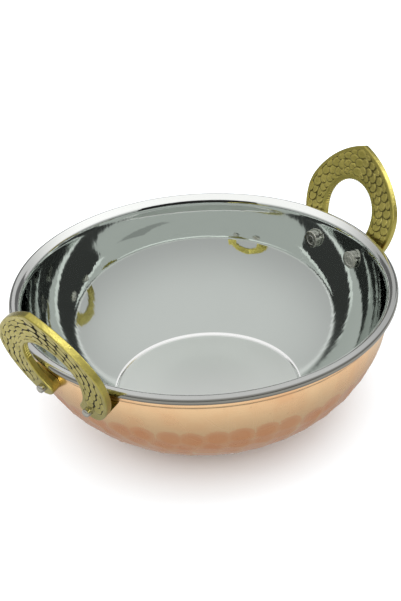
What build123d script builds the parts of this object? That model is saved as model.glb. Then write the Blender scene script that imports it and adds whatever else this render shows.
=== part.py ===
from build123d import *
import os
from math import acos, cos, degrees, radians, sin, sqrt

# Small serving kadai: a steel bowl in a hammered copper shell, with two riveted brass handles.
# Origin at the middle of the foot disc, on the table. The handles reach out along +X and -X.

# Rim and height of the whole pan
rim_diameter = 140.0
rim_height = 47.9

# Sheet thicknesses and the gap left between the two bowls up the wall
steel_thickness = 0.8
copper_thickness = 0.6
bowl_gap = 0.2

# Rolled rim: the sheet turns outward on a large arc, then curls into an open bead
bead_radius = 1.65
roll_entry_radius = 4.0
roll_entry_angle = 60.0
curl_angle = 255.0

# Flat floor and the small pressed step round it
floor_ring_radius = 35.1
foot_step_width = 1.2
foot_step_height = 0.7

# Turned hem at the shell's top edge
hem_height = 2.0
hem_thickness = 0.4
hem_round_share = 0.4

# Handle plate: it leans out of the pan, and both handles sit a few degrees round to the same side.
# The handles are fitted by hand, so one sits a little higher than the other.
handle_lean = 17.6
handle_drift = 5.5
right_handle_lift = -0.3
left_handle_lift = 0.9
rim_to_plate = 0.2
plate_thickness = 2.6
plate_edge_round = 0.5
tip_round = 1.0

# Handle outline: distances out from its middle line, and up or down from rim level
handle_rise = 31.3
handle_half_width = 23.4
handle_widest_height = 6.2
shoulder_half_width = 21.2
shoulder_height = 14.4
foot_outer_half_width = 15.3
foot_outer_drop = 12.0
foot_inner_half_width = 6.2
foot_inner_drop = 8.9
foot_corner_round = 2.4
finger_gap_half_width = 12.2
finger_gap_centre_height = 5.3

# Sunk panels on both faces of the plate, inside a raised border
border_width = 1.5
panel_depth = 0.35
panel_end_height = 5.3
panel_end_drop = 15.3

# Pads behind the feet, which bear on the shell
pad_top_drop = 7.5
seat_clearance = 0.1

# Rivets and the washers under their heads. The rivets lean less than the plate, nearly square to the wall.
rivet_lean = 4.0
rivet_half_spacing = 10.9
rivet_drop = 9.9
rivet_radius = 1.5
rivet_clearance = 0.1
rivet_head_radius = 3.4
rivet_head_thickness = 0.8
rivet_head_round = 0.25
rivet_tail_length = 2.2
rivet_tail_round = 0.3
washer_radius = 3.1
washer_thickness = 1.0

# Overrun of a cut or a blank past the surface that it leaves, and steps of the one sum that repeats
overrun = 3.0
reach_steps = 10

# Rim, neck and floor levels
rim_radius = rim_diameter / 2
bead_centre = (rim_radius - bead_radius, rim_height - bead_radius)
roll_shift = roll_entry_radius - bead_radius
entry_centre = (
    bead_centre[0] + roll_shift * cos(radians(roll_entry_angle)),
    bead_centre[1] - roll_shift * sin(radians(roll_entry_angle)),
)
neck_radius = entry_centre[0] - roll_entry_radius
neck_z = entry_centre[1]
floor_z = copper_thickness + steel_thickness
ring_z = floor_z + foot_step_height

# The wall is one arc, upright at the neck, that ends on the floor ring
wall_run = neck_radius - floor_ring_radius
wall_rise = neck_z - ring_z
wall_radius = (wall_run**2 + wall_rise**2) / (2 * wall_run)
wall_centre = (neck_radius - wall_radius, neck_z)
ring_slope = degrees(acos(wall_rise / wall_radius))
wall_sweep = 90 - ring_slope

# The four skins of the two bowls are concentric arcs
steel_outside = wall_radius + steel_thickness
copper_inside = steel_outside + bowl_gap
copper_outside = copper_inside + copper_thickness


def floor_edge(skin_radius, flat_z):
    """Both ends of the step from a flat disc at flat_z up to the foot of a skin."""
    foot_x = wall_centre[0] + skin_radius * sin(radians(ring_slope))
    foot_z = wall_centre[1] - skin_radius * cos(radians(ring_slope))
    return (foot_x - foot_step_width, flat_z), (foot_x, foot_z)


# Steel bowl, its floor, wall and rolled rim drawn as one sheet
with BuildPart() as steel_bowl:
    with BuildSketch(Plane.XZ):
        with BuildLine():
            inside_flat, inside_foot = floor_edge(wall_radius, floor_z)
            outside_flat, outside_foot = floor_edge(steel_outside, copper_thickness)
            entry_end = 180 - roll_entry_angle
            Polyline((0, floor_z), inside_flat, inside_foot)
            CenterArc(wall_centre, wall_radius, -wall_sweep, wall_sweep)
            CenterArc(entry_centre, roll_entry_radius, 180, -roll_entry_angle)
            curl_outside = CenterArc(bead_centre, bead_radius, entry_end, -curl_angle)
            curl_inside = CenterArc(bead_centre, bead_radius - steel_thickness, entry_end, -curl_angle)
            Line(curl_outside @ 1, curl_inside @ 1)
            CenterArc(entry_centre, roll_entry_radius - steel_thickness, 180, -roll_entry_angle)
            CenterArc(wall_centre, steel_outside, -wall_sweep, wall_sweep)
            Polyline(outside_foot, outside_flat, (0, copper_thickness), (0, floor_z))
        make_face()
    revolve(axis=Axis.Z)

# Copper shell with its foot disc, and the turned hem under the rim bead
with BuildPart() as copper_shell:
    with BuildSketch(Plane.XZ) as shell_section:
        with BuildLine():
            lining_flat, lining_foot = floor_edge(copper_inside, copper_thickness)
            disc_edge, skin_foot = floor_edge(copper_outside, 0)
            hem_sweep = degrees(hem_height / copper_outside)
            Polyline((0, copper_thickness), lining_flat, lining_foot)
            lining = CenterArc(wall_centre, copper_inside, -wall_sweep, wall_sweep)
            hem = CenterArc(wall_centre, copper_outside + hem_thickness, 0, -hem_sweep)
            skin = CenterArc(wall_centre, copper_outside, -hem_sweep, hem_sweep - wall_sweep)
            Line(lining @ 1, hem @ 0)
            Line(hem @ 1, skin @ 0)
            Polyline(skin_foot, disc_edge, (0, 0), (0, copper_thickness))
        make_face()
        hem_corners = shell_section.vertices().sort_by(Axis.X)[-2:]
        fillet(hem_corners, hem_thickness * hem_round_share)
    revolve(axis=Axis.Z)


def leaning_plane(turn, lean, reach, height):
    """A plane that faces out of the pan and leans back: X along the rim, Y up, Z out of the pan."""
    across = cos(radians(lean))
    return Plane(
        origin=(reach * cos(radians(turn)), reach * sin(radians(turn)), height),
        x_dir=(-sin(radians(turn)), cos(radians(turn)), 0),
        z_dir=(across * cos(radians(turn)), across * sin(radians(turn)), -sin(radians(lean))),
    )


def handle_plane(turn, lift):
    """Inner face of a handle's plate, which clears the rim bead at any lift."""
    reach = rim_radius + rim_to_plate + lift * sin(radians(handle_lean))
    return leaning_plane(turn, handle_lean, reach, bead_centre[1] + lift * cos(radians(handle_lean)))


def rivet_plane(turn, lift):
    """The same plate's rivet row: Y is 0 at the rivets, and Z runs along them."""
    row = rivet_drop - lift
    reach = rim_radius + rim_to_plate - row * sin(radians(handle_lean))
    return leaning_plane(turn, rivet_lean, reach, bead_centre[1] - row * cos(radians(handle_lean)))


right_turn = -handle_drift
left_turn = 180 + handle_drift
right_plane = handle_plane(right_turn, right_handle_lift)
left_plane = handle_plane(left_turn, left_handle_lift)
right_rivets = rivet_plane(right_turn, right_handle_lift)
left_rivets = rivet_plane(left_turn, left_handle_lift)

# Half of the horseshoe is drawn, from its tip round one foot to the top of the finger gap
with BuildSketch() as handle_outline:
    with BuildLine():
        foot_outer = (foot_outer_half_width, -foot_outer_drop)
        foot_inner = (foot_inner_half_width, -foot_inner_drop)
        gap_side = (finger_gap_half_width, finger_gap_centre_height)
        widest = (handle_half_width, handle_widest_height)
        shoulder = TangentArc(widest, (shoulder_half_width, shoulder_height), tangent=(0, 1))
        TangentArc(shoulder @ 1, (0, handle_rise), tangent=shoulder % 1)
        leg = TangentArc(widest, foot_outer, tangent=(0, -1))
        TangentArc(leg @ 1, foot_inner, tangent=leg % 1)
        TangentArc(gap_side, foot_inner, tangent=(0, -1))
        CenterArc((0, finger_gap_centre_height), finger_gap_half_width, 0, 90)
        mirror(about=Plane.YZ)
    make_face()
    fillet(handle_outline.vertices().group_by(lambda corner: abs(corner.X))[1], foot_corner_round)
    fillet(handle_outline.vertices().sort_by(Axis.Y)[-1], tip_round)

# Sunk field of one face, ending above the rivets on a line that slants down to the outer border
with BuildSketch() as handle_panel:
    add(handle_outline.sketch)
    offset(amount=-border_width, mode=Mode.REPLACE)
    with BuildLine():
        panel_edge = handle_half_width + overrun
        Polyline(
            (0, handle_rise),
            (-panel_edge, handle_rise),
            (-panel_edge, -handle_rise),
            (panel_edge, -handle_rise),
            (panel_edge, -panel_end_drop),
            (0, panel_end_height),
            close=True,
        )
    make_face(mode=Mode.SUBTRACT)
    mirror(about=Plane.YZ)

# Pads: the feet below the rim bead
with BuildSketch() as pad_outline:
    add(handle_outline.sketch)
    with Locations((0, -handle_rise)):
        Rectangle(
            handle_half_width,
            handle_rise - pad_top_drop,
            align=Align.MIN,
            mode=Mode.INTERSECT,
        )
    mirror(about=Plane.YZ)

# Everything inside the shell's outer skin, let out by the clearance of the pads
with BuildPart() as shell_space:
    with BuildSketch(Plane.XZ):
        with BuildLine():
            space = CenterArc(wall_centre, copper_outside + seat_clearance, -wall_sweep, wall_sweep)
            Polyline(space @ 1, (0, neck_z), (0, 0), space @ 0)
        make_face()
    revolve(axis=Axis.Z)

rivet_places = [(-rivet_half_spacing, 0), (rivet_half_spacing, 0)]


def height_above_wall(plane, reach):
    """How far outside the wall's inner skin a rivet's axis is, at a reach in from its row's plane."""
    point = plane.from_local_coords(Vector(rivet_half_spacing, 0, -reach))
    from_arc_centre = sqrt(point.X**2 + point.Y**2) - wall_centre[0]
    return sqrt(from_arc_centre**2 + (point.Z - wall_centre[1]) ** 2) - wall_radius


def head_reach(plane):
    """How far in from its row's plane the back of a rivet head is: a washer's thickness past the wall."""
    wall_reach = 0
    for step in range(reach_steps):
        wall_reach += height_above_wall(plane, wall_reach)
    return wall_reach + washer_thickness


def hole_reach(plane):
    """Reach of a hole or a blank that has to pass the wall."""
    return head_reach(plane) + overrun


# Reach out along a rivet's axis to the plate's outer face
plate_reach = plate_thickness / cos(radians(handle_lean - rivet_lean))

# Rivet holes through the steel and the copper
for shell in (steel_bowl, copper_shell):
    with shell:
        for row in (right_rivets, left_rivets):
            with Locations(row):
                with Locations(*rivet_places):
                    Hole(radius=rivet_radius + rivet_clearance, depth=hole_reach(row))


def make_handle(plane, rivets):
    """A handle: plate, sunk panels, pads cut to the shell, rivet holes."""
    with BuildPart() as handle:
        with BuildSketch(plane):
            add(handle_outline.sketch)
        extrude(amount=plate_thickness)
        plate_faces = handle.faces().filter_by(Axis(plane.origin, plane.z_dir))
        fillet(plate_faces.edges(), plate_edge_round)
        with BuildSketch(plane, plane.offset(plate_thickness - panel_depth)):
            add(handle_panel.sketch)
        extrude(amount=panel_depth, mode=Mode.SUBTRACT)
        with BuildSketch(plane.offset(panel_depth)):
            add(pad_outline.sketch)
        extrude(amount=-panel_depth - hole_reach(rivets))
        add(shell_space.part, mode=Mode.SUBTRACT)
        with Locations(rivets.offset(plate_reach + overrun)):
            with Locations(*rivet_places):
                Hole(radius=rivet_radius + rivet_clearance, depth=plate_reach + overrun + hole_reach(rivets))
    return handle.part


# Everything outside the wall's inner skin, which the washers stop at
with BuildPart() as wall_body:
    with BuildSketch(Plane.XZ):
        with BuildLine():
            face = CenterArc(wall_centre, wall_radius, -wall_sweep, wall_sweep)
            outer_edge = rim_radius + plate_thickness + rivet_tail_length + overrun
            Polyline(face @ 1, (outer_edge, neck_z), (outer_edge, 0), face @ 0)
        make_face()
    revolve(axis=Axis.Z)


def make_rivet(row, place):
    """Rivet with its flat head inside the bowl and its peened tail outside the handle."""
    with BuildPart() as rivet:
        with BuildSketch(row.offset(-head_reach(row))):
            with Locations(place):
                Circle(rivet_head_radius)
        extrude(amount=-rivet_head_thickness)
        head_edge = rivet.faces().sort_by(Axis(row.origin, row.z_dir))[0].edges()
        fillet(head_edge, rivet_head_round)
        with BuildSketch(row.offset(-head_reach(row))):
            with Locations(place):
                Circle(rivet_radius)
        extrude(amount=head_reach(row) + plate_reach + rivet_tail_length)
        tail_edge = rivet.faces().sort_by(Axis(row.origin, row.z_dir))[-1].edges()
        fillet(tail_edge, rivet_tail_round)
    return rivet.part


def make_washer(row, place):
    """Washer under a rivet head, its back dressed to the curve of the wall."""
    with BuildPart() as washer:
        with BuildSketch(row.offset(-head_reach(row))):
            with Locations(place):
                Circle(washer_radius)
                Circle(rivet_radius + rivet_clearance, mode=Mode.SUBTRACT)
        extrude(amount=washer_thickness + overrun)
        add(wall_body.part, mode=Mode.SUBTRACT)
    return washer.part


pieces = {
    "steel_bowl": steel_bowl.part,
    "copper_shell": copper_shell.part,
    "right_handle": make_handle(right_plane, right_rivets),
    "left_handle": make_handle(left_plane, left_rivets),
}
for side, row, places in (("right", right_rivets, rivet_places), ("left", left_rivets, rivet_places[::-1])):
    for end, place in zip(("front", "back"), places):
        pieces[f"{side}_{end}_rivet"] = make_rivet(row, place)
        pieces[f"{side}_{end}_washer"] = make_washer(row, place)

os.makedirs("parts", exist_ok=True)
for name, piece in pieces.items():
    piece.label = name
    export_step(piece, f"parts/{name}.step")
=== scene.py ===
from math import acos, atan2, cos, degrees, pi, radians, sin, sqrt, tau

import bmesh
import bpy
from mathutils import Matrix, Vector


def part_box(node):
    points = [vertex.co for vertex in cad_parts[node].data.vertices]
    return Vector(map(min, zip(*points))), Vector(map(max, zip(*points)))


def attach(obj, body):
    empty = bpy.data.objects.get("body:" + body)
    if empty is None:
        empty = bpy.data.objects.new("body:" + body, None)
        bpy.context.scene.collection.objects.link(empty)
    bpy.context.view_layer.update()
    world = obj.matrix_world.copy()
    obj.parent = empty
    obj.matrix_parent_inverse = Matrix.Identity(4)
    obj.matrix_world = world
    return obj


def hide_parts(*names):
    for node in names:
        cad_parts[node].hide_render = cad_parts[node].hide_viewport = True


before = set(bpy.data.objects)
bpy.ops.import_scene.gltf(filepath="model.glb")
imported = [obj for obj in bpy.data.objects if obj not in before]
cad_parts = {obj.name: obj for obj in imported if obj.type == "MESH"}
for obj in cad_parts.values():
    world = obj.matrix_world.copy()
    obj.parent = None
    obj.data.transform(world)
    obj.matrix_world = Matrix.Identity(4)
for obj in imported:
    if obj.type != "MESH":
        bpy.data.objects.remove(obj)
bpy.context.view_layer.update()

mm = 0.001

# Sizes of the pan, from the frame where it gives them
rim_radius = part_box("steel_bowl")[1].x
rim_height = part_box("steel_bowl")[1].z
neck_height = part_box("copper_shell")[1].z

steel_thickness = 0.8 * mm
copper_thickness = 0.6 * mm
bowl_gap = 0.2 * mm
bead_radius = 1.65 * mm
roll_radius = 4.0 * mm
roll_angle = 60.0
curl_angle = 255.0
floor_ring_radius = 35.1 * mm
ring_width = 1.2 * mm
ring_height = 0.7 * mm
hem_height = 2.0 * mm
hem_thickness = 0.4 * mm

bead_centre = (rim_radius - bead_radius, rim_height - bead_radius)
roll_shift = roll_radius - bead_radius
roll_centre = (
    bead_centre[0] + roll_shift * cos(radians(roll_angle)),
    bead_centre[1] - roll_shift * sin(radians(roll_angle)),
)
neck_radius = roll_centre[0] - roll_radius
floor_height = copper_thickness + steel_thickness
ring_top = floor_height + ring_height

# The wall is one arc, upright at the neck, that ends on the floor ring
wall_run = neck_radius - floor_ring_radius
wall_rise = neck_height - ring_top
wall_radius = (wall_run**2 + wall_rise**2) / (2 * wall_run)
wall_centre = (neck_radius - wall_radius, neck_height)
wall_sweep = 90 - degrees(acos(wall_rise / wall_radius))

steel_outside = wall_radius + steel_thickness
copper_inside = steel_outside + bowl_gap
copper_outside = copper_inside + copper_thickness

# Steps round the axis of the turned meshes
bowl_turns = 320
shell_turns = 576
rivet_turns = 48

# Sizes of a handle, in its own plane: X along the rim, Y up the plate
handle_lean = 17.6
handle_drift = 5.5
right_turn = -handle_drift
left_turn = 180 + handle_drift
right_lift = -0.3 * mm
left_lift = 0.9 * mm
rim_to_plate = 0.2 * mm
plate_thickness = 2.6 * mm
panel_depth = 0.35 * mm
border_width = 1.5 * mm
handle_rise = 31.3 * mm
widest = (23.4 * mm, 6.2 * mm)
shoulder = (21.2 * mm, 14.4 * mm)
foot_outer = (15.3 * mm, -12.0 * mm)
foot_inner = (6.2 * mm, -8.9 * mm)
gap_half_width = 12.2 * mm
gap_centre_height = 5.3 * mm
panel_first_angle = -38.0
rib_pitch = 1.1 * mm
rib_radius = 0.38 * mm
rib_half_length = 0.3 * plate_thickness
rib_proud = 0.05 * mm
ribs_past_level = 8

# How a seat is marked for a scale and for a rib
scale_kind = 1
rib_kind = 2

# How dark the grooves are painted, partly patina and partly painted shade, where 1 is the outer face
inner_panel_patina_and_shade = 0.6
inner_scale_patina_and_shade = 0.7
gap_patina_and_shade = 0.7

# Sizes of a rivet
rivet_lean = 4.0
rivet_radius = 1.5 * mm
rivet_head_thickness = 0.8 * mm
rivet_tail_height = 0.75 * mm
struck_depth = 0.1 * mm
struck_ring_shares = (0.46, 0.5, 0.58, 0.62)

# Angles past which an edge stays sharp
handle_sharp_angle = 32
washer_sharp_angle = 40
rivet_sharp_angle = 35


# Small helpers for node trees

number, vector, geometry = "NodeSocketFloat", "NodeSocketVector", "NodeSocketGeometry"


def tree_of(*values):
    """The node tree of the first socket among some values."""
    return next(value.id_data for value in values if isinstance(value, bpy.types.NodeSocket))


def feed(socket, value):
    """Sets an input to a plain value, or links it to another node's output."""
    if isinstance(value, bpy.types.NodeSocket):
        socket.id_data.links.new(value, socket)
    else:
        socket.default_value = value


def feed_all(sockets, values):
    for socket, value in zip(sockets, values):
        feed(socket, value)


def add(tree, kind, inputs=None, **settings):
    """Adds a node with its settings and its inputs by name."""
    made = tree.nodes.new(kind)
    for name, value in settings.items():
        setattr(made, name, value)
    for name, value in (inputs or {}).items():
        feed(made.inputs[name], value)
    return made


def calc(operation, *values):
    """Adds one Math node and returns its result."""
    node = add(tree_of(*values), "ShaderNodeMath", operation=operation)
    feed_all(node.inputs, values)
    return node.outputs[0]


def chain(operation, first, *others):
    """Runs one operation through a row of values, from the left."""
    for other in others:
        first = calc(operation, first, other)
    return first


def plus(*values):
    return chain("ADD", *values)


def minus(*values):
    return chain("SUBTRACT", *values)


def times(*values):
    return chain("MULTIPLY", *values)


def over(*values):
    return chain("DIVIDE", *values)


def square_sum(x, y):
    return plus(times(x, x), times(y, y))


def flat_length(x, y):
    return calc("SQRT", square_sum(x, y))


def vector_calc(operation, *values):
    """Adds one Vector Math node and returns the node."""
    node = add(tree_of(*values), "ShaderNodeVectorMath", operation=operation)
    feed_all(node.inputs, values)
    return node


def scale_vector(arrow, factor):
    node = vector_calc("SCALE", arrow)
    feed(node.inputs["Scale"], factor)
    return node.outputs[0]


def dot(first, second):
    return vector_calc("DOT_PRODUCT", first, second).outputs["Value"]


def ramp(value, start, end, low=0.0, high=1.0):
    """Soft step of a value from low to high between two marks."""
    marks = {"Value": value, "From Min": start, "From Max": end, "To Min": low, "To Max": high}
    return add(value.id_data, "ShaderNodeMapRange", marks, interpolation_type="SMOOTHSTEP").outputs[0]


def mix_colour(share, first, second):
    node = add(share.id_data, "ShaderNodeMix", data_type="RGBA")
    feed_all((node.inputs[0], node.inputs[6], node.inputs[7]), (share, first, second))
    return node.outputs[2]


def split(arrow):
    node = add(arrow.id_data, "ShaderNodeSeparateXYZ")
    feed(node.inputs[0], arrow)
    return node.outputs


def join(x, y, z):
    node = add(tree_of(x, y, z), "ShaderNodeCombineXYZ")
    feed_all(node.inputs, (x, y, z))
    return node.outputs[0]


def noise(place, detail, seed=None):
    """Noise round one half, its lumps about one unit across. With a seed given it is another sample."""
    values = {"Vector": place, "Scale": 1.0, "Detail": detail}
    if seed is None:
        return add(place.id_data, "ShaderNodeTexNoise", values).outputs["Fac"]
    values["W"] = seed
    return add(place.id_data, "ShaderNodeTexNoise", values, noise_dimensions="4D").outputs["Fac"]


def new_group(name, kind, inputs, outputs):
    """A node group with named inputs, given as {name: (socket kind, start value)}, and named outputs."""
    tree = bpy.data.node_groups.new(name, kind)
    for label, (socket_kind, start) in inputs.items():
        socket = tree.interface.new_socket(label, in_out="INPUT", socket_type=socket_kind)
        if start is not None:
            socket.default_value = start
    for label, socket_kind in outputs.items():
        tree.interface.new_socket(label, in_out="OUTPUT", socket_type=socket_kind)
    entry = tree.nodes.new("NodeGroupInput")
    result = tree.nodes.new("NodeGroupOutput")
    return tree, entry.outputs, result.inputs


def use(group, inputs):
    """Places a shader or geometry group in the tree of its inputs and returns its outputs."""
    kind = "ShaderNodeGroup" if group.type == "SHADER" else "GeometryNodeGroup"
    return add(tree_of(*inputs.values()), kind, inputs, node_tree=group).outputs


def store(mesh, name, value):
    """Keeps a value on each point of a mesh under a name, for its material to read."""
    values = {"Geometry": mesh, "Name": name, "Value": value}
    kept = add(mesh.id_data, "GeometryNodeStoreNamedAttribute", values, data_type="FLOAT", domain="POINT")
    return kept.outputs[0]


def coat(mesh, given, result):
    """Ends a geometry tree: everything made real, with its material."""
    whole = add(mesh.id_data, "GeometryNodeRealizeInstances", {"Geometry": mesh}).outputs[0]
    coated = add(mesh.id_data, "GeometryNodeSetMaterial", {"Geometry": whole, "Material": given["Material"]})
    feed(result["Geometry"], coated.outputs[0])


def grow(piece, tree, values):
    """Puts a geometry tree on a piece with its named inputs set."""
    modifier = piece.modifiers.new(tree.name, "NODES")
    modifier.node_group = tree
    for item in tree.interface.items_tree:
        if item.in_out == "INPUT" and item.name in values:
            modifier[item.identifier] = values[item.name]


def plain_mesh(piece):
    """Turns a piece with its modifiers into one plain mesh."""
    evaluated = piece.evaluated_get(bpy.context.evaluated_depsgraph_get())
    mesh = bpy.data.meshes.new_from_object(evaluated)
    mesh.name = piece.name
    piece.modifiers.clear()
    piece.data = mesh


def even_mesh(piece):
    """Evens out a piece's normals between its sharp edges, and makes it one plain mesh."""
    modifier = piece.modifiers.new("even_normals", "WEIGHTED_NORMAL")
    modifier.keep_sharp = True
    plain_mesh(piece)


# Camera: the photograph's place, turn and lens

photo_height = 601
focal_pixels = 1280
sensor = 36.0
camera_azimuth = -132.05
camera_elevation = 31.82
camera_distance = 6.610 * rim_radius
camera_roll = -3.07
camera_yaw = -0.143
camera_pitch = 0.636


def direction(azimuth, elevation):
    return Vector((
        cos(radians(elevation)) * cos(radians(azimuth)),
        cos(radians(elevation)) * sin(radians(azimuth)),
        sin(radians(elevation)),
    ))


def place_camera():
    toward = direction(camera_azimuth, camera_elevation)
    data = bpy.data.cameras.new("camera")
    data.sensor_width = sensor
    data.lens = focal_pixels * sensor / photo_height
    camera = bpy.data.objects.new("camera", data)
    bpy.context.scene.collection.objects.link(camera)
    looking = (-toward).to_track_quat("-Z", "Y").to_matrix().to_4x4()
    small_turns = (
        Matrix.Rotation(radians(-camera_yaw), 4, "Y")
        @ Matrix.Rotation(radians(-camera_pitch), 4, "X")
        @ Matrix.Rotation(radians(camera_roll), 4, "Z")
    )
    place = Vector((0, 0, bead_centre[1])) + toward * camera_distance
    camera.matrix_world = Matrix.Translation(place) @ looking @ small_turns
    bpy.context.scene.camera = camera


# Effects that several materials share

def cloud_group():
    """Soft blotches between 0 and 1: tarnish, smudges and patches of a finish."""
    tree, given, result = new_group("blotches", "ShaderNodeTree", {
        "Position": (vector, None),
        "Size": (number, 10 * mm),
        "Cover": (number, 0.5),
        "Softness": (number, 0.2),
        "Seed": (number, 0.0),
    }, {"Mask": number})
    place = scale_vector(given["Position"], over(1.0, given["Size"]))
    middle = minus(1.0, given["Cover"])
    low = minus(middle, given["Softness"])
    high = plus(middle, given["Softness"])
    feed(result["Mask"], ramp(noise(place, 4.0, given["Seed"]), low, high))
    return tree


def turned_lines_group():
    """Height of fine lines that run round the upright axis, as a polishing wheel leaves them."""
    tree, given, result = new_group("polishing_lines", "ShaderNodeTree", {
        "Position": (vector, None),
        "Spacing": (number, 0.5 * mm),
        "Length": (number, 0.5),
        "Seed": (number, 0.0),
    }, {"Height": number})
    x, y, z = split(given["Position"])
    radius = flat_length(x, y)
    off_axis = calc("MAXIMUM", radius, 0.1 * mm)
    across = over(minus(radius, z), given["Spacing"])
    around_x = over(x, off_axis, given["Length"])
    around_y = over(y, off_axis, given["Length"])
    feed(result["Height"], noise(join(around_x, around_y, across), 2.0, given["Seed"]))
    return tree


def grain_group():
    """Height of a fine cast or sanded grain, with a few deeper pits."""
    tree, given, result = new_group("cast_grain", "ShaderNodeTree", {
        "Position": (vector, None),
        "Grain Size": (number, 0.4 * mm),
        "Pit Share": (number, 0.2),
    }, {"Height": number})
    fine = scale_vector(given["Position"], over(1.0, given["Grain Size"]))
    pits = add(tree, "ShaderNodeTexVoronoi", {"Vector": fine, "Scale": 0.35})
    pit = ramp(pits.outputs["Distance"], 0.0, 0.35)
    depth = times(minus(1.0, pit), given["Pit Share"])
    feed(result["Height"], minus(noise(fine, 3.0), depth))
    return tree


def edge_group():
    """Where the surface turns outward over an edge, worn bright by use."""
    tree, given, result = new_group("edge_wear", "ShaderNodeTree", {
        "Position": (vector, None),
        "Width": (number, 0.4 * mm),
        "Patch Size": (number, 4 * mm),
    }, {"Mask": number})
    rounded = add(tree, "ShaderNodeBevel", {"Radius": given["Width"]}, samples=6).outputs[0]
    plain = add(tree, "ShaderNodeNewGeometry").outputs["Normal"]
    turn = ramp(minus(1.0, dot(rounded, plain)), 0.01, 0.12)
    patch = scale_vector(given["Position"], over(1.0, given["Patch Size"]))
    feed(result["Mask"], times(turn, ramp(noise(patch, 3.0), 0.25, 0.6)))
    return tree


def scratch_group():
    """Sparse hairline scratches in two directions."""
    tree, given, result = new_group("hairline_scratches", "ShaderNodeTree", {
        "Position": (vector, None),
        "Length": (number, 12 * mm),
        "Width": (number, 0.12 * mm),
        "Amount": (number, 0.3),
    }, {"Mask": number})
    masks = []
    for turn, seed in ((0.5, 1.0), (2.1, 7.0)):
        turned = add(tree, "ShaderNodeVectorRotate", {"Vector": given["Position"], "Angle": turn})
        x, y, z = split(turned.outputs[0])
        drawn_out = join(over(x, given["Length"]), over(y, given["Width"]), over(z, given["Length"]))
        edge = minus(0.8, times(given["Amount"], 0.2))
        masks.append(ramp(noise(drawn_out, 1.0, seed), edge, plus(edge, 0.05)))
    feed(result["Mask"], calc("MAXIMUM", *masks))
    return tree


blotches = cloud_group()
polishing_lines = turned_lines_group()
cast_grain = grain_group()
edge_wear = edge_group()
hairline_scratches = scratch_group()


def blotch_mask(place, size, cover, softness, seed=0.0):
    values = {"Position": place, "Size": size, "Cover": cover, "Softness": softness, "Seed": seed}
    return use(blotches, values)["Mask"]


def line_height(place, spacing, length, seed=0.0):
    values = {"Position": place, "Spacing": spacing, "Length": length, "Seed": seed}
    return use(polishing_lines, values)["Height"]


def grain_height(place, size, pit_share):
    return use(cast_grain, {"Position": place, "Grain Size": size, "Pit Share": pit_share})["Height"]


def painted(shader, name):
    """Reads a mask that the piece's mesh carries."""
    return add(shader.id_data, "ShaderNodeAttribute", attribute_name=name).outputs["Fac"]


def new_metal(name):
    """A bare metal with its shader, and the place on the piece that its patterns follow."""
    material = bpy.data.materials.new(name)
    material.use_nodes = True
    shader = material.node_tree.nodes["Principled BSDF"]
    shader.inputs["Metallic"].default_value = 1
    return material, shader, add(material.node_tree, "ShaderNodeTexCoord").outputs["Object"]


def finish_metal(shader, base, roughness, height, depth):
    """Feeds a metal's colour, its roughness and the height of its fine relief."""
    feed(shader.inputs["Base Color"], base)
    feed(shader.inputs["Roughness"], roughness)
    relief = add(height.id_data, "ShaderNodeBump", {"Height": height, "Distance": depth})
    feed(shader.inputs["Normal"], relief.outputs[0])


def steel_material():
    """Mirror polish on the wall, a floor painted brighter as painted light, a satin ring painted near white
    as a painted highlight, a satin rim painted brighter as a painted highlight, and painted shade on the
    outer, lower side of the bead.
    """
    polished, rubbed = (0.525, 0.555, 0.53, 1), (0.505, 0.535, 0.51, 1)
    floor_painted_light, ring_painted_highlight = (0.75, 0.77, 0.745, 1), (0.97, 0.97, 0.96, 1)
    rim_painted_highlight, under_bead_painted_shade = (0.76, 0.77, 0.75, 1), (0.28, 0.275, 0.25, 1)
    material, shader, place = new_metal("polished_steel_finish")
    x, y, height = split(place)
    radius = flat_length(x, y)

    # Masks of the zones
    low = ramp(height, 4 * mm, 3.5 * mm)
    floor_edge = floor_ring_radius - ring_width / 2
    floor = times(low, ramp(radius, floor_edge, floor_edge - 0.2 * mm))
    within = ramp(radius, floor_ring_radius + 0.5 * mm, floor_ring_radius + 0.1 * mm)
    ring = times(low, within, minus(1.0, floor))
    rim = ramp(height, rim_height - 2.4 * mm, rim_height - 1.2 * mm)
    wall = times(ramp(height, 3 * mm, 12 * mm), minus(1.0, rim))
    outward = ramp(radius, bead_centre[0] + 0.2 * bead_radius, bead_centre[0] + 0.6 * bead_radius)
    under = ramp(height, bead_centre[1] + 0.8 * bead_radius, bead_centre[1] + 0.5 * bead_radius)
    outside = times(outward, under)

    smudge = blotch_mask(place, 22 * mm, 0.45, 0.2)
    base = mix_colour(times(smudge, 0.5), polished, rubbed)
    # The floor is painted brighter than the wall: painted light.
    base = mix_colour(floor, base, floor_painted_light)
    # The floor ring is painted near white: a painted highlight.
    base = mix_colour(ring, base, ring_painted_highlight)
    # The rim is painted brighter than the wall: a painted highlight.
    base = mix_colour(rim, base, rim_painted_highlight)
    # The outer, lower side of the bead is painted dark: painted shade.
    base = mix_colour(outside, base, under_bead_painted_shade)

    hazy = ramp(height, 32 * mm, 4 * mm)
    fine_smudge = blotch_mask(place, 6 * mm, 0.5, 0.25, 3.0)
    scratches = use(hairline_scratches, {"Position": place})["Mask"]
    satin = calc("MAXIMUM", rim, ring)
    roughness = ramp(hazy, 0.0, 1.0, 0.03, 0.07)
    for mask, more in ((fine_smudge, 0.015), (scratches, 0.05), (satin, 0.08), (floor, 0.26)):
        roughness = plus(roughness, times(mask, more))

    lines = line_height(place, 1.3 * mm, 0.4)
    rim_lines = line_height(place, 0.4 * mm, 0.15, 4.0)
    waves = line_height(place, 11 * mm, 0.045, 9.0)
    lines = plus(lines, times(rim_lines, rim, 3.0), times(waves, wall, 9.0))
    finish_metal(shader, base, roughness, lines, 0.003 * mm)
    return material


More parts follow.
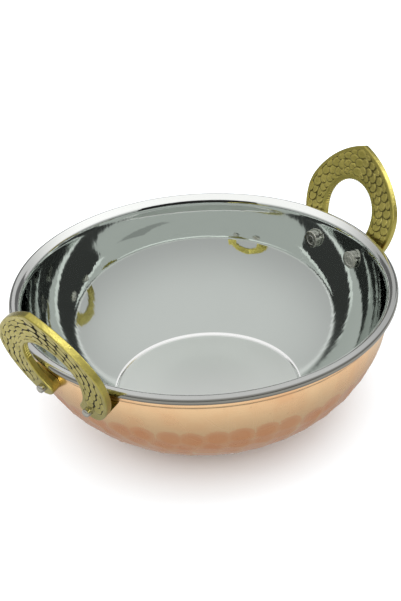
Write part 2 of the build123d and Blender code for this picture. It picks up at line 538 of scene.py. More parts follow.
def copper_material():
    """Copper with a smooth golden upper band and a darker, redder hammered zone."""
    gold, dull_gold = (0.96, 0.655, 0.38, 1), (0.93, 0.565, 0.31, 1)
    red, dull_red = (0.95, 0.48, 0.24, 1), (0.90, 0.40, 0.18, 1)
    ridge_highlight_colour, speck_colour = (0.97, 0.60, 0.35, 1), (0.42, 0.24, 0.15, 1)
    foot_colour = (0.38, 0.20, 0.12, 1)
    material, shader, place = new_metal("hammered_copper_finish")
    tarnish = blotch_mask(place, 12 * mm, 0.45, 0.2)
    specks = blotch_mask(place, 1.5 * mm, 0.3, 0.08, 5.0)
    low = ramp(split(place)[2], 6 * mm, 1 * mm)
    band = mix_colour(tarnish, gold, dull_gold)
    worked = mix_colour(tarnish, red, dull_red)
    base = mix_colour(painted(shader, "hammered"), band, worked)
    # The band round each dent's rim is painted lighter: a painted highlight.
    base = mix_colour(times(painted(shader, "ridge"), 0.4), base, ridge_highlight_colour)
    base = mix_colour(times(specks, 0.25), base, speck_colour)
    base = mix_colour(times(low, 0.45), base, foot_colour)
    wear = use(hairline_scratches, {"Position": place, "Length": 20 * mm, "Amount": 0.5})["Mask"]
    roughness = plus(0.22, times(tarnish, 0.1), times(wear, 0.08))
    finish_metal(shader, base, roughness, line_height(place, 0.7 * mm, 0.25, 2.0), 0.012 * mm)
    return material


def brass_material():
    """Cast brass under a thin lacquer: bright on the worn edges and on a painted highlight ring of each
    scale, olive on the faces, dark in the grooves with patina and painted shade.
    """
    olive, dull_olive = (0.475, 0.41, 0.10, 1), (0.38, 0.33, 0.075, 1)
    bright_edge_colour, patina_and_shade_colour = (0.80, 0.70, 0.20, 1), (0.035, 0.03, 0.015, 1)
    material, shader, place = new_metal("cast_brass_finish")
    shader.inputs["Coat Weight"].default_value = 0.25
    shader.inputs["Coat Roughness"].default_value = 0.25
    patina_and_shade = painted(shader, "patina_and_shade")
    edge = minus(0.97, times(patina_and_shade, 0.2))
    groove = ramp(painted(shader, "groove"), edge, plus(edge, 0.08))
    patina = blotch_mask(place, 5 * mm, 0.5, 0.2)
    wear = use(edge_wear, {"Position": place})["Mask"]
    # Bright on the worn edges, and on each scale's ring of painted highlight.
    bright = calc("MAXIMUM", wear, times(painted(shader, "highlight_ring"), 0.55))
    base = mix_colour(patina, olive, dull_olive)
    base = mix_colour(bright, base, bright_edge_colour)
    # The grooves are painted dark: partly patina, partly painted shade.
    base = mix_colour(times(groove, patina_and_shade), base, patina_and_shade_colour)
    roughness = plus(0.26, times(patina, 0.12), times(groove, 0.3))
    finish_metal(shader, base, roughness, grain_height(place, 0.7 * mm, 0.3), 0.13 * mm)
    return material


def rivet_material():
    """Turned steel of the rivets and washers."""
    grey, dull_grey, bright_edge_colour = (0.46, 0.455, 0.41, 1), (0.36, 0.355, 0.32, 1), (0.85, 0.85, 0.82, 1)
    material, shader, place = new_metal("rivet_steel_finish")
    tarnish = blotch_mask(place, 2 * mm, 0.4, 0.15, 2.0)
    wear = use(edge_wear, {"Position": place, "Width": 0.35 * mm, "Patch Size": 20 * mm})["Mask"]
    base = mix_colour(tarnish, grey, dull_grey)
    base = mix_colour(wear, base, bright_edge_colour)
    roughness = plus(0.26, times(tarnish, 0.08))
    finish_metal(shader, base, roughness, grain_height(place, 0.3 * mm, 0.1), 0.004 * mm)
    return material


# Turned pieces

def arc_point(centre, radius, angle):
    """A point of a section on a circle, angle in degrees."""
    return centre[0] + radius * cos(radians(angle)), centre[1] + radius * sin(radians(angle))


def arc(centre, radius, start, sweep, steps):
    """Points of an arc in the section, angles in degrees."""
    return [arc_point(centre, radius, start + sweep * step / steps) for step in range(steps + 1)]


def lathe(name, section, turns):
    """A closed mesh turned from a section that starts and ends on the axis."""
    mesh = bmesh.new()
    rings = []
    for radius, height in section:
        on_axis = radius < 0.0001 * mm
        rings.append([
            mesh.verts.new((radius * cos(tau * turn / turns), radius * sin(tau * turn / turns), height))
            for turn in range(1 if on_axis else turns)
        ])
    for below, above in zip(rings, rings[1:]):
        for turn in range(turns):
            beside = (turn + 1) % turns
            corners = [below[turn % len(below)], below[beside % len(below)]]
            corners += [above[beside % len(above)], above[turn % len(above)]]
            mesh.faces.new(dict.fromkeys(corners))
    bmesh.ops.recalc_face_normals(mesh, faces=mesh.faces)
    return finish_mesh(name, mesh)


def finish_mesh(name, mesh):
    data = bpy.data.meshes.new(name)
    mesh.to_mesh(data)
    mesh.free()
    data.shade_smooth()
    piece = bpy.data.objects.new(name, data)
    bpy.context.scene.collection.objects.link(piece)
    return piece


def settle(piece, node, material):
    """Gives a piece its finish and its place in the frame."""
    piece.data.materials.clear()
    piece.data.materials.append(material)
    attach(piece, "root")
    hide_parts(node)
    return piece


def floor_step(skin_radius, flat_height, steps):
    """Section of the pressed step from a flat floor up to a wall's skin, as a soft S."""
    foot_radius, foot_height = arc_point(wall_centre, skin_radius, -wall_sweep)
    points = []
    for step in range(steps + 1):
        share = step / steps
        rise = (foot_height - flat_height) * share * share * (3 - 2 * share)
        points.append((foot_radius - ring_width * (1 - share), flat_height + rise))
    return points


def polished_bowl(material):
    roll_end = 180 - roll_angle
    section = [(0, floor_height), (floor_ring_radius / 2, floor_height)]
    section += floor_step(wall_radius, floor_height, 8)
    section += arc(wall_centre, wall_radius, -wall_sweep, wall_sweep, 72)[1:]
    section += arc(roll_centre, roll_radius, 180, -roll_angle, 10)[1:]
    section += arc(bead_centre, bead_radius, roll_end, -curl_angle, 40)[1:]
    section += arc(bead_centre, bead_radius - steel_thickness, roll_end - curl_angle, curl_angle, 24)
    section += arc(roll_centre, roll_radius - steel_thickness, roll_end, roll_angle, 6)[1:]
    section += arc(wall_centre, steel_outside, 0, -wall_sweep, 24)[1:]
    section += reversed(floor_step(steel_outside, copper_thickness, 4)[:-1])
    section += [(0, copper_thickness)]
    return settle(lathe("polished_bowl", section, bowl_turns), "steel_bowl", material)


# Hammered copper shell

def dent_row_group():
    """How deep a point lies in the nearest dent of one row, as a share of the full depth."""
    tree, given, result = new_group("dent_row", "GeometryNodeTree", {
        "Around": (number, 0.0),
        "Along": (number, 0.0),
        "Ring Radius": (number, 60 * mm),
        "Row": (number, 0.0),
        "First Row": (number, 15 * mm),
        "Row Pitch": (number, 5.5 * mm),
        "Dent Pitch": (number, 8.4 * mm),
        "Dent Radius": (number, 5 * mm),
        "Unevenness": (number, 0.1),
        "Skin Radius": (number, 46 * mm),
        "Centre Radius": (number, 21 * mm),
        "Seed": (number, 0.0),
    }, {"Share": number})
    row = given["Row"]
    row_place = plus(given["First Row"], times(row, given["Row Pitch"]))
    row_turn = calc("COSINE", over(row_place, given["Skin Radius"]))
    row_radius = plus(given["Centre Radius"], times(given["Skin Radius"], row_turn))
    count = calc("ROUND", over(times(row_radius, tau), given["Dent Pitch"]))
    count = calc("MAXIMUM", count, 3.0)
    around = plus(times(given["Around"], count), times(row, 0.5))
    cell = calc("FLOORED_MODULO", calc("FLOOR", around), count)
    beside = minus(calc("FRACT", around), 0.5)
    chance = add(tree, "ShaderNodeTexWhiteNoise", {"Vector": join(cell, row, given["Seed"])})
    shift_x, shift_y, weight = split(chance.outputs["Color"])
    shift_x = times(minus(shift_x, 0.5), given["Unevenness"])
    shift_y = times(minus(shift_y, 0.5), given["Unevenness"])
    width = over(times(given["Ring Radius"], tau), count)
    side = times(plus(beside, shift_x), width)
    drop = plus(minus(given["Along"], row_place), times(shift_y, given["Row Pitch"]))
    reach = times(given["Dent Radius"], given["Dent Radius"])
    share = minus(1.0, over(square_sum(side, drop), reach))
    share = times(share, plus(0.85, times(weight, 0.3)))
    real = calc("GREATER_THAN", row, -0.5)
    feed(result["Share"], times(calc("MAXIMUM", share, 0.0), real))
    return tree


def hammering_tree():
    """Presses rows of dents into the outer skin of the shell, and flat strips into the band above them."""
    tree, given, result = new_group("hammered_skin", "GeometryNodeTree", {
        "Geometry": (geometry, None),
        "Skin Radius": (number, copper_outside),
        "Centre Radius": (number, wall_centre[0]),
        "Centre Height": (number, wall_centre[1]),
        "Band Height": (number, 14 * mm),
        "Row Pitch": (number, 5.5 * mm),
        "Dent Pitch": (number, 8.4 * mm),
        "Dent Radius": (number, 5 * mm),
        "Dent Depth": (number, 0.3 * mm),
        "Strip Depth": (number, 0.12 * mm),
        "Unevenness": (number, 0.32),
        "Seed": (number, 0.0),
        "Material": ("NodeSocketMaterial", None),
    }, {"Geometry": geometry})
    x, y, z = split(add(tree, "GeometryNodeInputPosition").outputs[0])
    radius = flat_length(x, y)
    out = minus(radius, given["Centre Radius"])
    down = minus(given["Centre Height"], z)
    on_skin = calc("COMPARE", flat_length(out, down), given["Skin Radius"], 0.02 * mm)
    along = times(calc("ARCTAN2", down, out), given["Skin Radius"])
    around = plus(over(calc("ARCTAN2", y, x), tau), 0.5)
    first = plus(given["Band Height"], given["Dent Radius"])
    nearest = calc("ROUND", over(minus(along, first), given["Row Pitch"]))

    # A point is pressed by the deepest dent of its own row and the rows beside it
    shared = ("Row Pitch", "Dent Pitch", "Dent Radius", "Unevenness", "Skin Radius", "Centre Radius", "Seed")
    values = {name: given[name] for name in shared}
    values.update({"Around": around, "Along": along, "Ring Radius": radius, "First Row": first})
    row_group = dent_row_group()
    depths = []
    for step in (-1.0, 0.0, 1.0):
        values["Row"] = plus(nearest, step)
        depths.append(use(row_group, values)["Share"])
    share = chain("MAXIMUM", *depths)

    strips = calc("ROUND", over(neck_radius * tau, given["Dent Pitch"]))
    strip = minus(calc("FRACT", times(around, strips)), 0.5)
    strip = minus(1.0, times(strip, strip, 4.0))
    above = ramp(along, plus(first, given["Dent Radius"]), hem_height)
    pressed = times(strip, given["Strip Depth"], above)
    pressed = calc("MAXIMUM", pressed, times(share, given["Dent Depth"]))
    pressed = times(pressed, on_skin, -1.0)
    offset = scale_vector(add(tree, "GeometryNodeInputNormal").outputs[0], pressed)
    # The band round each dent's rim, marked for the copper's painted highlight.
    ridge = times(ramp(share, 0.0, 0.06), ramp(share, 0.72, 0.45))
    marked = store(given["Geometry"], "hammered", times(ramp(share, 0.0, 0.12), on_skin))
    marked = store(marked, "ridge", times(ridge, on_skin))
    moved = add(tree, "GeometryNodeSetPosition", {"Geometry": marked, "Offset": offset})
    coat(moved.outputs[0], given, result)
    return tree


def hammered_shell(material):
    # The hem is a thicker edge with soft corners
    hem_sweep = degrees(hem_height / copper_outside)
    hem = copper_outside + hem_thickness
    section = [(0, copper_thickness)] + floor_step(copper_inside, copper_thickness, 4)[:-1]
    section += arc(wall_centre, copper_inside, -wall_sweep, wall_sweep, 16)
    section += [arc_point(wall_centre, hem - 0.12 * mm, 0)]
    section += arc(wall_centre, hem, -0.12 * hem_sweep, -0.7 * hem_sweep, 3)
    section += [arc_point(wall_centre, hem - 0.1 * mm, -0.93 * hem_sweep)]
    section += [arc_point(wall_centre, hem - 0.25 * mm, -hem_sweep)]
    section += arc(wall_centre, copper_outside, -hem_sweep, hem_sweep - wall_sweep, 84)
    section += reversed(floor_step(copper_outside, 0, 8)[:-1])
    section += [(0, 0)]
    piece = lathe("hammered_shell", section, shell_turns)
    grow(piece, hammering_tree(), {"Material": material})
    plain_mesh(piece)
    return settle(piece, "copper_shell", material)


# Cast handles

def smooth_copy(node, sharp_angle):
    """A copy of a node's mesh with its doubles merged, smooth up to an angle."""
    mesh = bmesh.new()
    mesh.from_mesh(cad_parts[node].data)
    bmesh.ops.remove_doubles(mesh, verts=mesh.verts, dist=0.001 * mm)
    bmesh.ops.dissolve_degenerate(mesh, edges=mesh.edges, dist=0.0005 * mm)
    bmesh.ops.recalc_face_normals(mesh, faces=mesh.faces)
    for edge in mesh.edges:
        edge.smooth = edge.calc_face_angle(0) < radians(sharp_angle)
    return mesh


def ray_to_circle(angle, centre, radius):
    """Distance from the gap's centre to a circle along a ray, all in the handle's plane."""
    side = centre[0]
    rise = centre[1] - gap_centre_height
    ahead = side * cos(angle) + rise * sin(angle)
    return ahead + sqrt(ahead**2 - side**2 - rise**2 + radius**2)


def tangent_circle(start, end, tangent):
    """Centre and radius of the arc that leaves start along a tangent and passes end."""
    run = (end[0] - start[0], end[1] - start[1])
    normal = (-tangent[1], tangent[0])
    radius = (run[0] ** 2 + run[1] ** 2) / (2 * (run[0] * normal[0] + run[1] * normal[1]))
    return (start[0] + normal[0] * radius, start[1] + normal[1] * radius), abs(radius)


leg_circle = tangent_circle(widest, foot_outer, (0, -1))
shoulder_circle = tangent_circle(widest, shoulder, (0, 1))
shoulder_out = ((shoulder[0] - shoulder_circle[0][0]) / shoulder_circle[1],
                (shoulder[1] - shoulder_circle[0][1]) / shoulder_circle[1])
tip_circle = tangent_circle(shoulder, (0, handle_rise), (-shoulder_out[1], shoulder_out[0]))
gap_side_circle = tangent_circle((gap_half_width, gap_centre_height), foot_inner, (0, -1))


def panel_reach(angle):
    """Inner and outer edge of the sunk panel along a ray from the gap's centre."""
    inner = gap_half_width + border_width
    if angle < 0:
        inner = ray_to_circle(angle, *gap_side_circle) + border_width
    shoulder_angle = atan2(shoulder[1] - gap_centre_height, shoulder[0])
    widest_angle = atan2(widest[1] - gap_centre_height, widest[0])
    centre, radius = leg_circle
    if angle > shoulder_angle:
        centre, radius = tip_circle
    elif angle > widest_angle:
        centre, radius = shoulder_circle
    return inner, ray_to_circle(angle, centre, radius - border_width)


def scale_seats(lane_pitch, row_pitch):
    """Place, outward turn and size of each scale of a panel, in the handle's plane, from the tip to the feet.

    Every second row is shifted by half a scale, and its outermost scales are cut by the borders.
    """
    cut_share, inset_share, overrun_share = 0.62, 0.25, 0.4
    seats = []
    angle = pi / 2
    row = 0
    mean_reach = row_pitch
    while angle > radians(panel_first_angle) - overrun_share * row_pitch / mean_reach:
        inner, outer = panel_reach(angle)
        mean_reach = (inner + outer) / 2
        lanes = max(round((outer - inner) / lane_pitch), 1)
        width = (outer - inner) / lanes
        shifted = row % 2
        for lane in range(lanes + shifted):
            reach = inner + width * (lane + 0.5 - 0.5 * shifted)
            reach = min(max(reach, inner + inset_share * width), outer - inset_share * width)
            is_cut = shifted and lane in (0, lanes)
            size = width * (cut_share if is_cut else 1.0)
            for side in ((1,) if row == 0 else (1, -1)):
                seats.append((side, reach * cos(angle), gap_centre_height + reach * sin(angle), angle, size))
        angle -= row_pitch / mean_reach
        row += 1
    return seats


def leaning_axes(turn, lean):
    """Axes along the rim, up and out of the pan, for what stands at a turn round it and leans outward."""
    turn, lean = radians(turn), radians(lean)
    along = Vector((-sin(turn), cos(turn), 0))
    out = Vector((cos(lean) * cos(turn), cos(lean) * sin(turn), -sin(lean)))
    return along, out.cross(along), out


def placed(axes, place):
    """The matrix of a frame with its own axes at a place."""
    matrix = Matrix(axes).transposed().to_4x4()
    matrix.translation = place
    return matrix


def handle_matrix(turn, lift):
    """The handle's own frame: X along the rim, Y up the plate, Z out of the pan."""
    lean = radians(handle_lean)
    reach = rim_radius + rim_to_plate + lift * sin(lean)
    height = bead_centre[1] + lift * cos(lean)
    place = (reach * cos(radians(turn)), reach * sin(radians(turn)), height)
    return placed(leaning_axes(turn, handle_lean), place)


def scale_tile(squareness):
    """A scale: half a ball, its round outline squared and its top flattened, with a ring near its edge marked
    for a painted highlight.
    """
    bottom, flatness, highlight_ring_place = -0.05, 4.0, 0.72
    tree = squareness.id_data
    ball = add(tree, "GeometryNodeMeshUVSphere", {"Segments": 12, "Rings": 10, "Radius": 1.0}).outputs["Mesh"]
    x, y, z = split(add(tree, "GeometryNodeInputPosition").outputs[0])
    below = calc("LESS_THAN", z, bottom)
    half = add(tree, "GeometryNodeDeleteGeometry", {"Geometry": ball, "Selection": below}, domain="POINT")
    square = square_sum(x, y)
    from_middle = calc("SQRT", square)
    powers = [calc("POWER", calc("ABSOLUTE", side), squareness) for side in (x, y)]
    spread = calc("MAXIMUM", plus(*powers), 0.0001)
    spread = calc("POWER", spread, over(1.0, squareness))
    widened = scale_vector(join(x, y, 0.0), over(from_middle, spread))
    wide_x, wide_y = split(widened)[:2]
    flat_top = minus(1.0, calc("POWER", square, flatness))
    dome = add(tree, "GeometryNodeSetPosition", {
        "Geometry": half.outputs[0],
        "Position": join(wide_x, wide_y, flat_top),
    })
    # A ring near the edge, marked for a painted highlight.
    from_highlight_ring = calc("ABSOLUTE", minus(from_middle, highlight_ring_place))
    tile = store(dome.outputs[0], "groove", from_middle)
    return store(tile, "highlight_ring", ramp(from_highlight_ring, 0.15, 0.02))


def ornament_tree():
    """Sets domed scales and small ribs on their seats, and joins them with the casting."""
    tree, given, result = new_group("fish_scales", "GeometryNodeTree", {
        "Geometry": (geometry, None),
        "Overlap": (number, 1.0),
        "Squareness": (number, 2.6),
        "Unevenness": (number, 0.06),
        "Seed": ("NodeSocketInt", 4),
        "Material": ("NodeSocketMaterial", None),
    }, {"Geometry": geometry})

    def stored(name, kind):
        return add(tree, "GeometryNodeInputNamedAttribute", {"Name": name}, data_type=kind).outputs[0]

    kind = stored("seat_kind", "FLOAT")
    size = stored("seat_size", "FLOAT_VECTOR")
    is_seat = calc("GREATER_THAN", kind, scale_kind - 0.5)
    parts = add(tree, "GeometryNodeSeparateGeometry", {"Geometry": given["Geometry"], "Selection": is_seat},
                domain="POINT")
    seats = add(tree, "GeometryNodeMeshToPoints", {"Mesh": parts.outputs["Selection"]}).outputs[0]
    turn = add(tree, "FunctionNodeEulerToRotation", {"Euler": stored("seat_turn", "FLOAT_VECTOR")}).outputs[0]

    def set_on_seats(comparison, shape, shape_size):
        return add(tree, "GeometryNodeInstanceOnPoints", {
            "Points": seats,
            "Selection": calc(comparison, kind, rib_kind - 0.5),
            "Instance": shape,
            "Rotation": turn,
            "Scale": shape_size,
        }).outputs[0]

    # Scales vary in width and length, and keep their height
    chance = add(tree, "FunctionNodeRandomValue", {"Seed": given["Seed"]}, data_type="FLOAT")
    feed(chance.inputs[2], minus(1.0, given["Unevenness"]))
    feed(chance.inputs[3], plus(1.0, given["Unevenness"]))
    uneven = scale_vector(size, times(chance.outputs[1], given["Overlap"]))
    wide, long = split(uneven)[:2]
    scale_size = join(wide, long, split(size)[2])
    scales = set_on_seats("LESS_THAN", scale_tile(given["Squareness"]), scale_size)

    bar = add(tree, "GeometryNodeMeshCylinder", {"Vertices": 8, "Radius": 1.0, "Depth": 2.0}).outputs["Mesh"]
    soft_bar = add(tree, "GeometryNodeSetShadeSmooth", {"Geometry": bar}).outputs[0]
    ribs = set_on_seats("GREATER_THAN", soft_bar, size)

    everything = add(tree, "GeometryNodeJoinGeometry")
    for part in (ribs, scales, parts.outputs["Inverted"]):
        feed(everything.inputs[0], part)
    coat(everything.outputs[0], given, result)
    return tree


def darken_grooves(mesh, place, marks):
    """Marks the panels' floors and the upper wall of the gap, which are painted dark between scales and ribs,
    partly patina and partly painted shade.
    """
    on_panel, on_gap, past_panel = 0.01 * mm, 0.02 * mm, 8
    back = place.inverted()
    for vert in mesh.verts:
        local = back @ vert.co
        from_back, from_front = abs(local.z - panel_depth), abs(local.z - plate_thickness + panel_depth)
        angle = atan2(local.y - gap_centre_height, abs(local.x))
        if min(from_back, from_front) < on_panel and angle > radians(panel_first_angle - past_panel):
            vert[marks["groove"]] = 1
            vert[marks["patina_and_shade"]] = inner_panel_patina_and_shade if from_back < from_front else 1
        reach = sqrt(local.x**2 + (local.y - gap_centre_height) ** 2)
        if abs(reach - gap_half_width) < on_gap and local.y > gap_centre_height:
            vert[marks["groove"]] = 1
            vert[marks["patina_and_shade"]] = gap_patina_and_shade


def add_seat(mesh, marks, spot, kind, turn, size, patina_and_shade=0.0):
    """A point on which the ornament tree sets a scale or a rib."""
    seat = mesh.verts.new(spot)
    seat[marks["seat_kind"]] = kind
    seat[marks["seat_turn"]] = turn.to_euler()
    seat[marks["seat_size"]] = size
    seat[marks["patina_and_shade"]] = patina_and_shade


def seat_scales(mesh, place, marks):
    """Seats the rows of scales in the sunk panels of both faces."""
    width_share = 0.51
    faces = (
        # height of the panel floor, outward side, lane and row pitch, scale length, height, tilt, and how
        # dark its grooves are painted with patina and painted shade
        (plate_thickness - panel_depth, 1, 2.8 * mm, 3.9 * mm, 2.75 * mm, 0.34 * mm, 4.5, 1.0),
        (panel_depth, -1, 3.3 * mm, 2.9 * mm, 2.3 * mm, 0.38 * mm, 9.0, inner_scale_patina_and_shade),
    )
    for level, outward, lane_pitch, row_pitch, half_length, height, tilt, patina_and_shade in faces:
        up = Vector((0, 0, outward))
        for side, x, y, angle, width in scale_seats(lane_pitch, row_pitch):
            toward_foot = Vector((side * sin(angle), -cos(angle), 0))
            local = Matrix((toward_foot.cross(up), toward_foot, up)).transposed()
            turn = place.to_3x3() @ (local @ Matrix.Rotation(radians(tilt), 3, "X"))
            spot = place @ Vector((side * x, y, level))
            add_seat(mesh, marks, spot, scale_kind, turn, (width * width_share, half_length, height), patina_and_shade)


def seat_ribs(mesh, place, marks):
    """Seats the ribs round the wall of the finger gap."""
    angle = radians(-ribs_past_level)
    while angle < radians(180 + ribs_past_level):
        local = Vector((cos(angle), sin(angle), 0)) * (gap_half_width + rib_proud)
        spot = place @ (local + Vector((0, gap_centre_height, plate_thickness / 2)))
        add_seat(mesh, marks, spot, rib_kind, place.to_3x3(), (rib_radius, rib_radius, rib_half_length))
        angle += rib_pitch / gap_half_width


def cast_handle(name, node, turn, lift, tree, material):
    mesh = smooth_copy(node, handle_sharp_angle)
    layers = mesh.verts.layers
    for label in ("seat_kind", "groove", "patina_and_shade"):
        layers.float.new(label)
    for label in ("seat_turn", "seat_size"):
        layers.float_vector.new(label)
    marks = {label: layers.float[label] for label in ("seat_kind", "groove", "patina_and_shade")}
    marks.update({label: layers.float_vector[label] for label in ("seat_turn", "seat_size")})
    place = handle_matrix(turn, lift)
    darken_grooves(mesh, place, marks)
    seat_scales(mesh, place, marks)
    seat_ribs(mesh, place, marks)
    piece = finish_mesh(name, mesh)
    grow(piece, tree, {"Material": material})
    even_mesh(piece)
    return settle(piece, node, material)


# Rivets and washers

def rivet_section(radius, length):
    """Section of a rivet from the face of its flat head, with a struck ring, to the top of its domed tail."""
    struck_heights = (0, struck_depth, struck_depth, 0)
    section = [(0, 0)]
    section += [(radius * share, height) for share, height in zip(struck_ring_shares, struck_heights)]
    # The head's rounded edge: how far inward, and how deep below its face
    edge = ((0.3, 0), (0.12, 0.04), (0.03, 0.13), (0, 0.3), (0, 0.62), (0.06, 0.75))
    section += [(radius - inward * mm, depth * mm) for inward, depth in edge]
    section += [(radius - 0.15 * mm, rivet_head_thickness), (rivet_radius, rivet_head_thickness)]
    section += [(rivet_radius, length - rivet_tail_height)]
    tail_steps, tail_fullness = 8, 0.7
    for step in range(1, tail_steps):
        rise = radians(90 * step / tail_steps)
        across = rivet_radius * cos(rise) ** tail_fullness
        section.append((across, length - rivet_tail_height * (1 - sin(rise))))
    return section + [(0, length)]


def turned_rivet(node, turn, material):
    """A rivet turned about its own axis, in the place of its node."""
    axes = leaning_axes(turn, rivet_lean)
    spans = []
    for axis in axes:
        reaches = [axis.dot(vert.co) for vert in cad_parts[node].data.vertices]
        spans.append((min(reaches), max(reaches)))
    middle = [(low + high) / 2 for low, high in spans]
    head, tail = spans[2]
    radius = (spans[0][1] - spans[0][0]) / 2
    piece = lathe(node + "_turned", rivet_section(radius, tail - head), rivet_turns)
    piece.data.transform(placed(axes, axes[0] * middle[0] + axes[1] * middle[1] + axes[2] * head))
    piece.data.set_sharp_from_angle(angle=radians(rivet_sharp_angle))
    return settle(piece, node, material)


def turned_washer(node, material):
    """A washer, smooth round its edges."""
    piece = finish_mesh(node + "_turned", smooth_copy(node, washer_sharp_angle))
    even_mesh(piece)
    return settle(piece, node, material)


# Studio: a dome of screens that only reflections see, a few cards, lamps, and a white floor

# Glossy depth that parts a first reflection from a reflection of a reflection
second_bounce = 1.5
lamp_distance = 1.2
whole_turn = (0, 360)

# The dark oval flag above the camera and the bright strip along its lower edge, in degrees
flag_middle = 34
flag_half_width = 42
flag_drop = 17
flag_rise = 15
strip_half_width = 52
strip_drop = 21


def stage_mesh(name, corners, faces, material):
    data = bpy.data.meshes.new(name)
    data.from_pydata(corners, [], faces)
    data.materials.append(material)
    thing = bpy.data.objects.new(name, data)
    bpy.context.scene.collection.objects.link(thing)
    return thing


def only_in_reflections(thing):
    thing.visible_camera = False
    thing.visible_diffuse = False
    thing.visible_shadow = False
    thing.visible_transmission = False


def flat_square(name, half_width, height, material):
    signs = ((-1, -1), (1, -1), (1, 1), (-1, 1))
    corners = [(x * half_width, y * half_width, height) for x, y in signs]
    return stage_mesh(name, corners, [(0, 1, 2, 3)], material)


def new_light(name):
    """An empty material and its tree, for what reflections see."""
    material = bpy.data.materials.new(name)
    material.use_nodes = True
    material.node_tree.nodes.clear()
    return material, material.node_tree


def show(shader):
    feed(add(shader.id_data, "ShaderNodeOutputMaterial").inputs["Surface"], shader)


def glow(tree, strength, tint=(1, 1, 1, 1)):
    return add(tree, "ShaderNodeEmission", {"Color": tint, "Strength": strength}).outputs[0]


def clear(tree):
    return add(tree, "ShaderNodeBsdfTransparent").outputs[0]


def mix_shader(share, first, second):
    node = add(share.id_data, "ShaderNodeMixShader")
    feed_all(node.inputs, (share, first, second))
    return node.outputs[0]


def glossy_depth(tree):
    return add(tree, "ShaderNodeLightPath").outputs["Glossy Depth"]


def lip_light(tree, light):
    """Gives the lip its own light on a screen: white for the far side, grey for the rest.

    A ray that left the lip is known by where its line crosses the height of the lip.
    """
    far_light, near_light, more_left, more_in_front = 1.2, 0.5, 0.15, 0.15
    inner_edge, outer_edge, softness = neck_radius - 2.3 * mm, rim_radius + 2 * mm, 0.5 * mm
    ray = add(tree, "ShaderNodeNewGeometry")
    place, back = ray.outputs["Position"], ray.outputs["Incoming"]
    level = bead_centre[1] + 0.5 * bead_radius
    run = over(minus(level, split(place)[2]), split(back)[2])
    crossing = vector_calc("ADD", place, scale_vector(back, run)).outputs[0]
    x, y = split(crossing)[:2]
    radius = flat_length(x, y)
    shares = []
    for azimuth in (camera_azimuth, camera_azimuth - 90):
        toward = direction(azimuth, 0)
        along = plus(times(x, toward.x), times(y, toward.y))
        shares.append(over(along, radius))
    nearness, leftness = shares
    own = ramp(nearness, -0.8, -0.2, far_light, near_light)
    own = plus(own, times(calc("MAXIMUM", leftness, 0.0), more_left))
    own = plus(own, ramp(nearness, 0.4, 0.9, 0.0, more_in_front))
    on_lip = ramp(radius, inner_edge, inner_edge + softness)
    on_lip = times(on_lip, ramp(radius, outer_edge, outer_edge - softness))
    return plus(times(light, minus(1.0, on_lip)), times(own, on_lip))


def screen_material(name, first, deep, top):
    """A screen with one light for a first reflection and one for a reflection of a reflection.

    None lets those rays through. With top given, the first light grows to it from the horizon to overhead,
    and the lip mirrors a light of its own.
    """
    material, tree = new_light(name)
    if top is not None:
        place = add(tree, "ShaderNodeTexCoord").outputs["Object"]
        up = split(vector_calc("NORMALIZE", place).outputs[0])[2]
        first = lip_light(tree, ramp(up, 0.1, 1.0, first, top))
    shown = [clear(tree) if light is None else glow(tree, light) for light in (first, deep)]
    is_deep = calc("GREATER_THAN", glossy_depth(tree), second_bounce)
    show(mix_shader(is_deep, *shown))
    return material


def screen(name, azimuths, low, high, first=None, deep=None, top=None, radius=3.0, steps=24):
    """A part of a large dome round the pan. An edge is an elevation, or a function of the share across."""
    corners, faces = [], []
    for row in range(steps + 1):
        for column in range(steps + 1):
            share = 2 * column / steps - 1
            bottom = low(share) if callable(low) else low
            upper = high(share) if callable(high) else high
            azimuth = azimuths[0] + (azimuths[1] - azimuths[0]) * column / steps
            corners.append(direction(azimuth, bottom + (upper - bottom) * row / steps) * radius)
    for row in range(steps):
        for column in range(steps):
            corner = row * (steps + 1) + column
            faces.append((corner, corner + 1, corner + steps + 2, corner + steps + 1))
    only_in_reflections(stage_mesh(name, corners, faces, screen_material(name, first, deep, top)))


def round_camera(half_width, middle=0):
    """Azimuths to both sides of the camera, or of another middle measured from it."""
    return camera_azimuth + middle - half_width, camera_azimuth + middle + half_width


def bulge(share):
    return sqrt(max(1 - share * share, 0))


def flag_top(share):
    return flag_middle + flag_rise * bulge(share)


def flag_bottom(share):
    return flag_middle - flag_drop * bulge(share)


def strip_top(share):
    return flag_bottom(share * strip_half_width / flag_half_width)


def strip_bottom(share):
    return flag_middle - strip_drop * bulge(share)


def neck_card():
    """A dark upright card on the camera's side, that only the neck under the far lip mirrors.

    It shows to rays that left from that high up, which their slope tells.
    """
    distance, half_width, low, high = 150 * mm, 140 * mm, 50 * mm, 185 * mm
    material, tree = new_light("neck_card")
    ray = add(tree, "ShaderNodeNewGeometry")
    height = split(ray.outputs["Position"])[2]
    ahead = dot(ray.outputs["Incoming"], direction(camera_azimuth, 0))
    slope = over(split(ray.outputs["Incoming"])[2], ahead)
    run = distance + rim_radius - 5 * mm
    start = minus(height, times(calc("ABSOLUTE", slope), run))
    once = calc("LESS_THAN", glossy_depth(tree), second_bounce)
    dark = times(once, ramp(start, 41.5 * mm, 43 * mm))
    show(mix_shader(dark, clear(tree), glow(tree, 0.03)))
    foot = direction(camera_azimuth, 0) * distance
    beside = Vector((-foot.y, foot.x, 0)).normalized() * half_width
    ends = ((-1, low), (1, low), (1, high), (-1, high))
    corners = [foot + beside * side + Vector((0, 0, end)) for side, end in ends]
    only_in_reflections(stage_mesh("neck_card", corners, [(0, 1, 2, 3)], material))


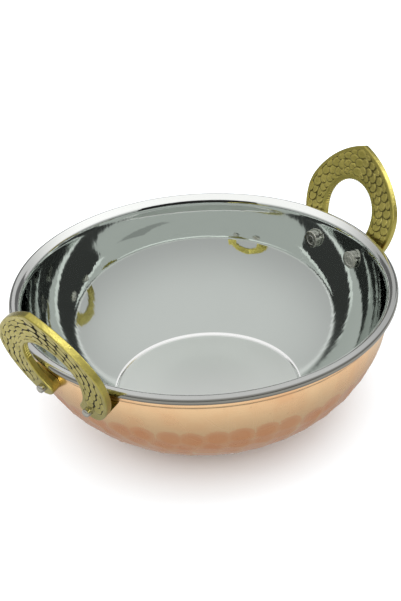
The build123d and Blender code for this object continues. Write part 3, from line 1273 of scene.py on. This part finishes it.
def table_card():
    """What the pan's sides mirror of the table: darker close to the pan and far off."""
    material, tree = new_light("table_card")
    warm_white = (1.0, 1.0, 0.98, 1)
    x, y = split(add(tree, "ShaderNodeTexCoord").outputs["Object"])[:2]
    radius = flat_length(x, y)
    near = ramp(radius, 60 * mm, 125 * mm, 0.44, 0.94)
    far = ramp(radius, 200 * mm, 500 * mm, 1.0, 0.35)
    show(glow(tree, times(near, far), warm_white))
    only_in_reflections(flat_square("table_card", 3.0, -0.02 * mm, material))


def white_floor():
    material = bpy.data.materials.new("white_paper")
    material.use_nodes = True
    shader = material.node_tree.nodes["Principled BSDF"]
    shader.inputs["Base Color"].default_value = (0.80, 0.85, 0.88, 1)
    shader.inputs["Roughness"].default_value = 0.9
    shader.inputs["Specular IOR Level"].default_value = 0.1
    flat_square("floor", 4.0, -0.05 * mm, material).visible_glossy = False


def white_world():
    """A plain white behind everything, and a brighter white that lights it."""
    seen_light, cast_light = 1.0, 1.9
    world = bpy.data.worlds.new("studio")
    bpy.context.scene.world = world
    world.use_nodes = True
    tree = world.node_tree
    path = add(tree, "ShaderNodeLightPath").outputs
    seen = chain("MAXIMUM", path["Is Camera Ray"], path["Is Glossy Ray"], path["Is Transmission Ray"])
    background = tree.nodes["Background"]
    background.inputs["Color"].default_value = (1, 1, 1, 1)
    feed(background.inputs["Strength"], ramp(seen, 0.0, 1.0, cast_light, seen_light))


def lamp(name, azimuth, elevation, size, power, receivers):
    """A round soft lamp. With receivers given it lights those pieces alone, and their reflections show it."""
    data = bpy.data.lights.new(name, "AREA")
    data.shape = "DISK"
    data.size = size
    data.energy = power
    place = direction(camera_azimuth + azimuth, elevation) * lamp_distance
    thing = bpy.data.objects.new(name, data)
    thing.location = place
    thing.rotation_euler = (-place).to_track_quat("-Z", "Y").to_euler()
    bpy.context.scene.collection.objects.link(thing)
    if receivers is None:
        thing.visible_glossy = False
        return
    lit = bpy.data.collections.new(name + "_receivers")
    for piece in receivers:
        lit.objects.link(piece)
    thing.light_linking.receiver_collection = lit


def studio(handles, fasteners):
    """A tent of light screens, with darker cards where the metal mirrors the dark of the room."""
    white_world()
    white_floor()
    table_card()
    screen("skirt", whole_turn, 0.5, 6, first=0.2, deep=0.3)
    screen("scrim", whole_turn, 6, 90, first=0.66, deep=1.15, top=0.95, steps=48)
    screen("near_card", round_camera(60), 0.5, 8, first=0.12, radius=2.0)
    screen("far_low_card", round_camera(42, 180), 6, 25, first=0.14, radius=2.0)
    screen("flag", round_camera(flag_half_width), flag_bottom, flag_top, deep=0.1, radius=2.0)
    screen("back_flag", round_camera(21, -79), 50, 77, deep=0.75, radius=2.0)
    neck_card()
    screen("low_strip", whole_turn, 7, 11, deep=2.4, radius=2.1)
    screen("strip", round_camera(strip_half_width), strip_bottom, strip_top, deep=1.9, radius=1.9)
    lamps = (
        # name, azimuth from the camera, elevation, size, watts, and the pieces it lights, or None for all
        ("key", 110, 62, 0.8, 1.5, None),
        ("fill", -80, 50, 1.0, 1.0, None),
        ("handle_light", 70, 63, 0.7, 3.2, handles),
        ("handle_glint", -5, 18, 0.6, 4.0, handles),
        ("far_glint", 110, 28, 0.6, 3.0, handles),
        ("rivet_light", 50, 55, 0.4, 1.6, fasteners),
    )
    for details in lamps:
        lamp(*details)
    bpy.context.scene.view_settings.view_transform = "Standard"


place_camera()
polished_bowl(steel_material())
hammered_shell(copper_material())
brass = brass_material()
ornament = ornament_tree()
handles = [
    cast_handle("cast_right_handle", "right_handle", right_turn, right_lift, ornament, brass),
    cast_handle("cast_left_handle", "left_handle", left_turn, left_lift, ornament, brass),
]
rivet_steel = rivet_material()
fasteners = []
for side, turn in (("right", right_turn), ("left", left_turn)):
    for place in ("front", "back"):
        fasteners.append(turned_rivet(f"{side}_{place}_rivet", turn, rivet_steel))
        fasteners.append(turned_washer(f"{side}_{place}_washer", rivet_steel))
studio(handles, fasteners)
